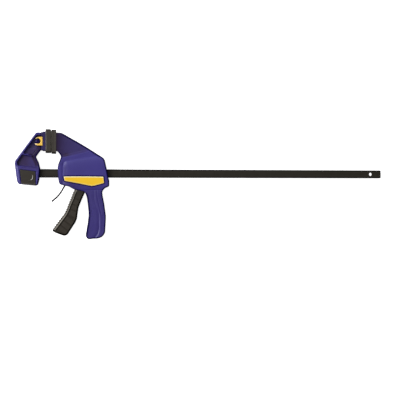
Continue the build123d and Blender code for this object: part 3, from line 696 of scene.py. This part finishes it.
# ============================================================ housing
def housing_field(screws):
    def field(X, Y, Z):
        aZ = np.abs(Z)
        d = poly(body_pts, 4.0, X, Y)
        dmid = poly(mid_pts, 6.0, X, Y)
        dmain = poly(main_pts, 5.0, X, Y)
        # heights: arm that flares out behind the pad, shoulder, crowned main panel, grip
        top = 9.3 + 4.0 * np.exp(-(np.maximum(X, 9.0) - 10.9) / 12.0)
        top = top + (np.maximum(13.7, top) - top) * smooth(3.2, -3.0, dmid)
        crown = 14.3 + 2.6 * (1 - np.exp(np.minimum(dmain, 0.0) / 6.0))
        top = top + (crown - top) * smooth(1.0, -0.8, dmain)
        # valley between the front band and the main panel
        vd, _ = path_dist([(24.6, -24.0), (25.3, 15.0), (26.6, 23.0)], X, Y)
        top = top - 0.6 * np.exp(-(vd / 1.5) ** 2)
        # grip: the front part dips towards a crease, the back part stands up from it
        gd, gs = path_dist(grip_line, X, Y)
        g2, s2 = path_dist(grip_line2, X, Y)
        step = 0.42 + 0.75 * smooth(-75.0, -118.0, Y) + 0.35 * smooth(-132.0, -141.0, Y)
        rise = 1.9 + 0.7 * smooth(-100.0, -135.0, Y)
        ribs = 0.4 * (0.5 + 0.5 * np.cos(Y * (2 * math.pi / 5.6))) \
            * smooth(-90.0, -96.0, Y) * smooth(-133.0, -128.0, Y) * smooth(5.0, 8.0, gd)
        right = 14.7 - 0.001 * gd * gd - 1.2 * step * (1 - np.clip(gd / rise, 0, 1)) - ribs \
            - 0.45 * np.exp(-(g2 / 1.1) ** 2)
        left = 14.7 - step * 1.2 * np.exp(-gd / 4.5) - 0.5 * smooth(0.0, 14.0, gd)
        grip = smooth(-35.0, -39.0, Y) * smooth(60.0, 70.0, X)
        top = top + (np.minimum(np.where(gs > 0, right, left), 15.0) - top) * grip
        f = rounded_pair(d, aZ - top, 3.0 + 0.5 * grip * np.where(gs > 0, 1, 1 - 4 * smooth(2.0, 12.0, gd)))
        f = cut(f, X - 10.9 + 0 * aZ, 0.4)
        # hollows
        f = cut(f, np.maximum(poly(bay_pts, 1.0, X, Y), aZ - 11.6), 0.4)
        f = cut(f, rounded_pair(poly(channel_pts, 2.0, X, Y), aZ - 11.3, 0.8), 0.9)
        f = cut(f, np.maximum(poly(lever_way_pts, 0.0, X, Y), aZ - 9.0), 0.5)
        # spring seat of the brake across the bay
        seat = np.maximum(np.maximum(np.abs(X - 54.5) - 1.5, np.abs(Y) - 17.0), aZ - 12.5)
        f = join(f, seat, 0.4)
        f = cut(f, np.maximum(np.abs(Y) - 9.85, aZ - 3.52) + 0 * X, 0.5)
        # bed of the yellow panel
        f = cut(f, np.maximum(poly(panel_pts, 2.2, X, Y) - 0.7, 15.7 - aZ), 0.35)
        if screws:
            for (sx, sy), level in SCREWS:
                hd = np.hypot(X - sx, Y - sy) - 3.2
                f = cut(f, np.maximum(hd, level - 2.8 - aZ), 0.4)
        # parting face
        return rounded_pair(f, (Z if screws else -Z) + 0.05 + 0 * X, 0.4)
    return field


def housing_painted_shade(X, Y, Z):
    """Painted shade: how far a place is darkened, along the arm and along some of the edges."""
    dmid = poly(mid_pts, 6.0, X, Y)
    arm = (0.42 + 0.52 * np.exp(-(np.maximum(X, 10.9) - 10.9) / 15.0)
           - 0.24 * smooth(66.0, 92.0, X)) * smooth(-3.5, -0.5, dmid)
    patch = 0.3 * np.exp(-((X - 33.0) / 7.0) ** 2 - ((Y - 41.0) / 5.0) ** 2) * smooth(-2.5, 0.0, dmid)
    patch = np.maximum(patch, 0.24 * smooth(-12.0, -17.0, Y) * smooth(-36.0, -30.0, Y) * smooth(74.0, 60.0, X))
    return np.clip(arm + patch, 0.0, 0.95)


def housing_edge(X, Y, Z):
    """Painted shade: dark lines on edges that turn away from the light, and painted shadow in the bed of the panel."""
    d = poly(body_pts, 4.0, X, Y)
    arm = 0.95 * smooth(-4.8, -2.9, d) * smooth(20.0, 26.0, X) * smooth(34.0, 37.0, Y)
    grip_l = smooth(-3.9, -2.0, d) * smooth(-42.0, -46.0, Y) * smooth(98.0, 86.0, X)
    grip_r = 0.85 * smooth(-4.1, -2.2, d) * smooth(-38.0, -42.0, Y) * smooth(86.0, 102.0, X)
    neck = smooth(-3.5, -1.6, d) * smooth(18.0, 22.0, Y) * smooth(51.0, 49.0, Y) * smooth(30.0, 26.0, X)
    back = 0.95 * smooth(-4.3, -2.4, d) * smooth(108.0, 112.0, X) * smooth(-38.0, -34.0, Y)
    front = 0.6 * smooth(-3.1, -1.3, d) * smooth(76.0, 72.0, X) * smooth(22.0, 18.0, Y)
    dp = poly(panel_pts, 2.0, X, Y)
    bed = 0.95 * smooth(3.2, 1.5, dp) * smooth(-0.4, 0.3, dp)
    flank = 0.32 * np.exp(-((X - 29.5) / 2.6) ** 2) * smooth(24.0, 12.0, Y) * smooth(-8.0, -2.0, Y)
    end = 0.8 * smooth(-3.6, -2.4, d) * smooth(-139.0, -143.0, Y)
    return np.maximum.reduce([arm, grip_l, grip_r, neck, back, front, bed, flank, end])


hf = nets("housing_front_shell", (9, -149, -0.5), (130, 92, 18), H1, housing_field(False))
place(hf, "blue", "sliding_jaw", "housing_front")
set_attribute(hf, "painted_shade", housing_painted_shade)
set_attribute(hf, "edge", housing_edge)
hb = nets("housing_back_shell", (9, -149, -18), (130, 92, 0.5), H1, housing_field(True))
place(hb, "blue", "sliding_jaw", "housing_back")
set_attribute(hb, "painted_shade", housing_painted_shade)
set_attribute(hb, "edge", housing_edge)


# ============================================================ fixed jaw
def fixed_field(X, Y, Z):
    d = poly(fixed_pts, 4.0, X, Y)
    db = poly(base_pts, 3.5, X, Y)
    aZ = np.abs(Z)
    left = smooth(-45.0, -60.0, X)
    f = rounded_pair(d, aZ - 12.4, 1.6 + 0.6 * left)
    f = join(f, rounded_pair(db + 0.9 + 1.9 * left, aZ - 14.9, 0.9 + 1.5 * left), 0.8)
    # pockets on both sides of the web
    pa = poly(pocket_a, 3.0, X, Y) - 0.06 * (aZ - 3.4)
    low = 3.4 + 2.2 * smooth(60.0, 53.0, Y)
    across = (X + 61.4) * 0.809 - (Y - 43.8) * 0.588
    right = smooth(4.0, 16.0, across)
    f = rounded_pair(f, -rounded_pair(pa, low - aZ, 2.4 - 1.9 * right), 0.8 - 0.5 * right)
    pb = poly(pocket_b, 3.0, X, Y) - 0.06 * (aZ - 3.4)
    right = smooth(-44.0, -38.0, X)
    f = rounded_pair(f, -rounded_pair(pb, 5.6 - aZ, 2.2 - 1.7 * right), 0.8 - 0.5 * right)
    nose = np.maximum(np.maximum(-22.6 - X, Y - 84.0), 59.0 - Y) + 0 * Z
    f = cut(f, np.maximum(nose, aZ - 3.6), 0.4)
    groove = np.maximum(np.maximum(-24.7 - X, Y - 84.9), 58.1 - Y) + 0 * Z
    f = cut(f, np.maximum(groove, aZ - 1.6), 0.1)
    f = cut(f, np.maximum(-23.4 - X, 9.0 - aZ) + 0 * Y, 0.5)
    r = np.hypot(X + 29.2, Y - 71.5)
    f = join(f, rounded_pair(r - 5.4, aZ - 6.5, 0.3), 0.4)
    f = join(f, rounded_pair(r - 4.2, aZ - 8.3, 0.7), 0.3)
    bar_way = np.maximum(np.maximum(np.abs(Y) - 9.6, aZ - 3.3), -69.0 - X)
    f = cut(f, bar_way, 0.3)
    c = poly(cover_cut_pts, 2.0, X, Y)
    f = cut(f, np.maximum(c - 0.45, 11.8 - aZ), 1.2)
    return f


fj = nets("fixed_jaw_casting", (-81, -29, -16), (-19, 92, 16), H1 * 0.9, fixed_field)
place(fj, "cast", "bar_body", "fixed_jaw")


def fixed_painted_shade(X, Y, Z):
    """Painted shade on the fixed jaw: the pocket floors and the rim at the throat."""
    aZ = np.abs(Z)
    deep = smooth(12.2, 10.8, aZ)
    pa = poly(pocket_a, 3.0, X, Y)
    pb = poly(pocket_b, 3.0, X, Y)
    across = (X + 61.4) * 0.809 - (Y - 43.8) * 0.588
    a = (0.38 + 0.3 * smooth(2.0, 12.0, across)) * smooth(0.5, -2.0, pa) * deep
    b = (0.7 - 0.3 * smooth(-58.0, -40.0, X)) * smooth(0.5, -2.0, pb) * deep
    line = 0.95 * smooth(-2.6, -1.4, pa) * smooth(1.2, 0.4, pa) * smooth(9.0, 12.0, across)
    throat, _ = path_dist([(-23.6, 51.4), (-34.1, 36.6), (-28.1, 24.7), (-24.5, 10.0)], X, Y)
    rim = 0.9 * smooth(12.5, 7.0, throat) * smooth(10.0, 20.0, Y)
    block = 0.3 * smooth(7.5, 9.5, Y) * smooth(17.5, 16.0, Y) * smooth(-68.0, -62.0, X)
    return np.maximum.reduce([a, b, rim, block, line])


def fixed_edge(X, Y, Z):
    """Painted shade: dark lines at the edge of the throat, and painted shadow in the gap around the clip."""
    d = poly(fixed_pts, 4.0, X, Y)
    throat = smooth(-3.8, -2.0, d) * smooth(-42.0, -38.0, X) * smooth(-26.0, -20.0, Y) * smooth(56.0, 52.0, Y)
    top = 0.5 * smooth(-3.0, -1.8, d) * smooth(86.0, 88.0, Y)
    low = 0.8 * smooth(-2.6, -1.4, d) * smooth(-38.0, -34.0, X) * smooth(-20.0, -24.0, Y)
    dc = poly(clip_pts, 1.5, X, Y)
    clip = 0.9 * smooth(2.6, 1.4, dc) * smooth(11.5, 10.0, np.abs(Z))
    path, _ = path_dist([(-23.6, 51.4), (-34.1, 36.6), (-28.1, 24.7), (-24.5, 10.0)], X, Y)
    rim = 0.4 * smooth(10.0, 6.0, path) * smooth(10.0, 20.0, Y)
    pa = poly(pocket_a, 3.0, X, Y)
    across = (X + 61.4) * 0.809 - (Y - 43.8) * 0.588
    wall = 0.45 * smooth(-2.8, -1.4, pa) * smooth(1.4, 0.6, pa) * smooth(9.0, 12.0, across) * smooth(61.0, 57.0, Y)
    return np.maximum.reduce([throat, top, low, clip, rim, wall])


set_attribute(fj, "painted_shade", fixed_painted_shade)
set_attribute(fj, "edge", fixed_edge)


def fixed_lit(X, Y, Z):
    """Painted highlight along the lit ridge on the left of the base block."""
    d = poly(fixed_pts, 4.0, X, Y)
    ridge = smooth(1.5, 0.5, np.abs(d + 4.2)) * smooth(-50.0, -58.0, X) * smooth(17.5, 13.5, Y)
    return ridge * (0.16 + 0.16 * smooth(0.0, 12.0, Y))


set_attribute(fj, "lit", fixed_lit)

# ============================================================ pads
def fixed_pad_field(X, Y, Z):
    pts = [(-12.5, 45.8), (-12.5, 98.0), (-2.0, 98.0), (-0.3, 96.2), (0.0, 79.5), (0.0, 63.5),
           (-0.25, 46.8), (-0.9, 45.8)]
    return rounded_pair(poly(pts, 1.0, X, Y), np.abs(Z) - 14.0, 1.0 + smooth(-7.0, -11.0, X))


def sliding_pad_field(X, Y, Z):
    pts = [(10.9, 44.1), (10.9, 97.0), (2.2, 97.0), (0.55, 95.3), (0.25, 79.5), (0.25, 63.5),
           (0.5, 45.1), (1.15, 44.1)]
    return rounded_pair(poly(pts, 1.0, X, Y), np.abs(Z) - 14.0, 1.0)


fp = nets("fixed_pad_rubber", (-13, 45, -14.5), (0.5, 99, 14.5), H2, fixed_pad_field)
place(fp, "pad", "swivel_pad", "fixed_pad")
sp = nets("sliding_pad_rubber", (0, 43, -14.5), (11.5, 98, 14.5), H2, sliding_pad_field)
place(sp, "pad", "sliding_jaw", "sliding_pad")
# painted shade: dark bands at both ends of the pads
set_attribute(fp, "edge", lambda X, Y, Z: 0.9 * smooth(49.0, 47.8, Y) + 0.35 * smooth(95.0, 96.2, Y))
set_attribute(sp, "edge", lambda X, Y, Z: 0.9 * smooth(47.3, 46.1, Y) + 0.35 * smooth(94.0, 95.2, Y))
# painted highlight on the pads' lit edges
set_attribute(fp, "lit", lambda X, Y, Z: 0.22 * smooth(-10.2, -11.0, X) * smooth(49.0, 52.0, Y))
set_attribute(sp, "lit", lambda X, Y, Z: 0.08 * smooth(7.0, 8.0, X) * smooth(10.6, 9.6, X) * smooth(47.0, 50.0, Y))

# ============================================================ trigger
def trigger_field(X, Y, Z):
    d = poly(trigger_pts, 6.0, X, Y) - 0.25
    low = smooth(-36.0, -46.0, Y)
    run = along_path(strip_outer, X, Y)
    line = np.abs((run - 11.2 + 6.5) % 13.0 - 6.5)
    cross = 0.8 * np.exp(-(line / 1.3) ** 2) * smooth(17.0, 25.0, run) * smooth(0.0, -5.0, d)
    f = rounded_pair(d, np.abs(Z) - (10.7 - cross), 0.8 + 1.2 * low)
    fork = np.maximum(np.abs(Z) - 4.3, -14.5 - Y) + 0 * X
    f = cut(f, fork, 0.4)
    bed = [(49.4, -29.5)] + [(x - 4.0, y + 1.6) for x, y in strip_outer] + strip_inner
    f = cut(f, poly(bed, 0.0, X, Y) - 0.5 + 0 * Z, 0.4)
    hole = np.hypot(X - 77.0, Y - 28.0) - 3.06 + 0 * Z
    return cut(f, hole, 0.3)


tg = nets("trigger_lever", (2, -140, -11.2), (88, 37, 11.2), H1 * 0.9, trigger_field)
place(tg, "grey", "trigger", "trigger")


def trigger_edge(X, Y, Z):
    """Painted shade: dark lines at the back edge and the groove beside the strip, darker towards the top and along the
    cross grooves.
    """
    d = poly(trigger_pts, 6.0, X, Y)
    front, _ = path_dist(strip_outer, X, Y)
    back = smooth(-4.7, -2.8, d) * smooth(8.0, 10.5, front) * smooth(-30.0, -36.0, Y)
    groove = 0.8 * smooth(2.8, 1.8, poly(strip_outer + strip_inner, 2.0, X, Y)) * smooth(-41.0, -44.0, Y)
    top = 0.3 * smooth(-62.0, -40.0, Y)
    run = along_path(strip_outer, X, Y)
    line = np.abs((run - 11.2 + 6.5) % 13.0 - 6.5)
    cross = 0.3 * np.exp(-(line / 1.0) ** 2) * smooth(17.0, 25.0, run) * smooth(0.0, -5.0, d)
    return np.maximum.reduce([back, groove, top, cross])


set_attribute(tg, "edge", trigger_edge)


def strip_parts(X, Y):
    """Outline of the strip, how deep a place is from its front, and its ribs."""
    d = poly(strip_outer + strip_inner, 2.0, X, Y)
    run = along_path(strip_outer, X, Y)
    edge, _ = path_dist(strip_outer, X, Y)
    rib = np.clip(0.5 + 1.1 * np.cos(run * (2 * math.pi / 5.9)), 0, 1)
    return d, edge, rib


def strip_field(X, Y, Z):
    d, edge, rib = strip_parts(X, Y)
    # ribs across the front, 1.2 mm high
    d = d + (1 - rib) * 1.2 * smooth(3.4, 1.6, edge)
    return rounded_pair(d, np.abs(Z) - 10.5, 0.9)


sg = nets("trigger_strip", (3, -129, -11), (61, -30, 11), H2, strip_field)
place(sg, "strip", "trigger", "trigger_grip")


def strip_painted_shadow(X, Y, Z):
    """Painted shadow: dark valleys between the ribs."""
    d, edge, rib = strip_parts(X, Y)
    low = smooth(-85.0, -105.0, Y)
    outer = smooth(3.6, 3.0, edge)
    inner = smooth(4.9, 5.7, edge)
    return outer * (0.95 - 0.28 * rib) + (1 - outer) * np.maximum(0.4 * (1 - low), 0.9 * inner)


set_attribute(sg, "painted_shadow", strip_painted_shadow)

# ============================================================ covers and panels
def crescent(X, Y):
    """Outline of the thin raised crescent on the front cover."""
    return np.maximum(np.hypot(X + 47.7, Y + 8.2) - 8.0, 8.95 - np.hypot(X + 49.8, Y + 7.5))


def cover_field(ridge):
    def field(X, Y, Z):
        d = poly(cover_pts, 2.0, X, Y) + 0.15
        f = rounded_pair(d, np.abs(Z - 13.2) - 1.4, 0.8)
        if ridge:
            f = join(f, rounded_pair(crescent(X, Y) - 0.25, np.abs(Z - 14.0) - 1.2, 0.5), 0.25)
        return f
    return field


cf = nets("base_cover_front_shell", (-71, -28, 11.5), (-33, 10, 15.5), H2, cover_field(True))


def cover_painted_glint(X, Y, Z):
    """Painted glint on the crescent, and a slightly lighter lower lip."""
    c = smooth(0.15, -0.3, crescent(X, Y)) * smooth(14.5, 14.8, Z) * smooth(-16.5, -14.0, Y) * smooth(-2.0, -4.5, Y)
    lip = 0.09 * smooth(-3.2, -2.0, poly(cover_pts, 2.0, X, Y)) * smooth(-20.0, -23.0, Y)
    return np.maximum(c, lip)


set_attribute(cf, "painted_glint", cover_painted_glint)
place(cf, "cover", "bar_body", "base_cover_front")
cb = flipped(nets("cover_tmp", (-71, -28, 11.5), (-33, 10, 15.5), H2, cover_field(False)),
             "base_cover_back_shell")
bpy.data.objects.remove(bpy.data.objects["cover_tmp"])
place(cb, "grey", "bar_body", "base_cover_back")


def panel_field(X, Y, Z):
    d = poly(panel_pts, 2.0, X, Y) + 0.1
    return rounded_pair(d, np.abs(Z - 16.2) - 0.77, 0.75)




def clip_field(X, Y, Z):
    r = np.hypot(X + 29.2, Y - 71.5)
    d = cut(poly(clip_pts, 1.5, X, Y), r - 5.9, 0.3)
    d = cut(d, np.maximum(X + 29.2, np.abs(Y - 71.4) - 4.9), 0.3)
    aZ = np.abs(Z)
    f = rounded_pair(d, np.abs(aZ - 6.75) - 2.7, 1.3)
    bridge = np.maximum(np.maximum(np.abs(X + 20.0) - 1.2, np.abs(Y - 71.25) - 9.5), aZ - 9.0)
    web = np.maximum(np.maximum(np.abs(X + 20.2) - 1.8, np.abs(Y - 71.5) - 11.9), aZ - 3.4)
    tongue = np.maximum(np.maximum(np.abs(X + 22.0) - 1.9, np.abs(Y - 71.5) - 12.5), aZ - 0.9)
    tongue = np.maximum(tongue, 8.5 - np.abs(Y - 71.5))
    return join(join(join(f, bridge, 0.3), web, 0.2), tongue, 0.1)


sc = nets("swivel_clip_fork", (-37, 58.5, -10), (-18, 84.5, 10), H2, clip_field)
place(sc, "clip", "swivel_pad", "swivel_clip")
# painted highlight on the clip's left tips
set_attribute(sc, "painted_highlight", lambda X, Y, Z: 0.7 * smooth(-29.0, -34.0, X))
# painted shadow on the clip where it sits deep in the jaw and at its upper and lower ends
set_attribute(sc, "edge", lambda X, Y, Z: np.maximum(smooth(4.2, 3.8, np.abs(Z)), smooth(9.7, 10.3, np.abs(Y - 71.3))))

pf = nets("side_panel_front_plate", (26, -30, 15.0), (118, -5, 17.2), 0.4, panel_field)
place(pf, "yellow", "sliding_jaw", "side_panel_front")


def panel_painted_highlight(X, Y, Z):
    """Painted highlight: paler border of the panel, strongest along its top."""
    d = poly(panel_pts, 2.0, X, Y)
    return smooth(-2.7, -1.6, d) * (0.25 + 0.7 * smooth(-10.8, -9.4, Y) + 0.15 * smooth(34.0, 28.0, X))


set_attribute(pf, "painted_highlight", panel_painted_highlight)
pb = flipped(pf, "side_panel_back_plate")
place(pb, "yellow", "sliding_jaw", "side_panel_back")

# ============================================================ CAD pieces that stay
def soften(node, width, segments=3, angle=32.0):
    ob = frame["nodes"][node]
    for p in ob.data.polygons:
        p.use_smooth = True
    b = ob.modifiers.new("edge", "BEVEL")
    b.width = width / 1000.0
    b.segments = segments
    b.limit_method = "ANGLE"
    b.angle_limit = math.radians(angle)
    b.harden_normals = True
    return ob


for node, key, w in (("bar", "steel", 0.35), ("jaw_pin", "zinc", 0.2),
                     ("swivel_plate", "plate", 0.9),
                     ("housing_screws", "zinc", 0.15), ("trigger_pin", "zinc", 0.2),
                     ("drive_plates", "zinc", 0.3), ("release_lever", "lever", 0.3)):
    dress(soften(node, w), key)


def coil(node):
    """Copy of a spring, attached to the sliding jaw in place of its node."""
    src = frame["nodes"][node]
    bpy.context.view_layer.update()
    ob = bpy.data.objects.new(node + "_coil", src.data.copy())
    bpy.context.scene.collection.objects.link(ob)
    ob.matrix_world = src.matrix_world.copy()
    for p in ob.data.polygons:
        p.use_smooth = True
    place(ob, "zinc", "sliding_jaw", node)
    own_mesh(ob)


coil("drive_spring")
coil("brake_spring")

# ============================================================ stage
def sun(name, toward, energy, angle, color=(1, 1, 1)):
    """Broad soft light from the direction that toward points to."""
    d = bpy.data.lights.new(name, "SUN")
    d.energy = energy
    d.angle = math.radians(angle)
    d.color = color
    o = bpy.data.objects.new(name, d)
    bpy.context.scene.collection.objects.link(o)
    o.rotation_mode = "QUATERNION"
    o.rotation_quaternion = Vector(toward).to_track_quat("Z", "Y")
    o.location = Vector(toward) * 2.0
    return o


floor_me = bpy.data.meshes.new("floor")
s_ = 6.0
zf = CAD_BOX[0][2] - 0.0006
floor_me.from_pydata([(-s_, -s_, zf), (s_, -s_, zf), (s_, s_, zf), (-s_, s_, zf)], [], [(0, 1, 2, 3)])
floor_me.update()
floor = bpy.data.objects.new("floor", floor_me)
bpy.context.scene.collection.objects.link(floor)
fm = material("floor_white", (0.85, 0.85, 0.85), 0.9, spec=0.1)
fm.node_tree.nodes["Principled BSDF"].inputs["Emission Color"].default_value = (1, 1, 1, 1)
fn = fm.node_tree
# the glow of the floor stops in the contact shadow under the two pads
ftc = fn.nodes.new("ShaderNodeTexCoord")
fsp = fn.nodes.new("ShaderNodeSeparateXYZ")
fn.links.new(ftc.outputs["Object"], fsp.inputs["Vector"])


def fmath(op, a, b):
    nd = fn.nodes.new("ShaderNodeMath")
    nd.operation = op
    for k, v in enumerate((a, b)):
        if isinstance(v, float):
            nd.inputs[k].default_value = v
        else:
            fn.links.new(v, nd.inputs[k])
    return nd.outputs["Value"]


inx = fmath("SUBTRACT", fmath("ABSOLUTE", fmath("ADD", fsp.outputs["X"], 0.0005), 0.0), 0.0095)
iny = fmath("SUBTRACT", fmath("ABSOLUTE", fsp.outputs["Y"], 0.0), 0.0240)
glow = map_range(fn, fmath("MAXIMUM", inx, iny), -0.0006, 0.0006, 0.0, 0.93)
fn.links.new(glow, fn.nodes["Principled BSDF"].inputs["Emission Strength"])
floor.data.materials.append(fm)
floor.visible_diffuse = False
floor.visible_glossy = False

# sky of the studio: brighter towards the upper left
world_ = bpy.data.worlds.new("studio")
world_.use_nodes = True
wn = world_.node_tree
tc = wn.nodes.new("ShaderNodeTexCoord")
dt = wn.nodes.new("ShaderNodeVectorMath")
dt.operation = "DOT_PRODUCT"
dt.inputs[1].default_value = Vector((-0.8, 0.5, 0.22)).normalized()
wn.links.new(tc.outputs["Generated"], dt.inputs[0])
mr = wn.nodes.new("ShaderNodeMapRange")
mr.inputs["From Min"].default_value = -0.4
mr.inputs["From Max"].default_value = 1.0
mr.inputs["To Min"].default_value = 0.04
mr.inputs["To Max"].default_value = 0.55
wn.links.new(dt.outputs["Value"], mr.inputs["Value"])
wn.links.new(mr.outputs["Result"], wn.nodes["Background"].inputs["Strength"])
wn.nodes["Background"].inputs["Color"].default_value = (1, 1, 1, 1)
bpy.context.scene.world = world_
sun("key", (-0.82, 0.38, 0.78), 2.45, 34.0)
sun("fill", (-0.4, -0.1, 1.0), 0.5, 70.0).visible_glossy = False
sun("right", (0.9, -0.15, 0.5), 0.08, 60.0).visible_glossy = False
# cool sheen on slopes that face up and left
sheen = sun("sheen", (-0.38, 0.5, 0.8), 0.8, 16.0, (0.72, 0.88, 1.0))
sheen.visible_diffuse = False
bpy.context.scene.view_settings.view_transform = "Standard"
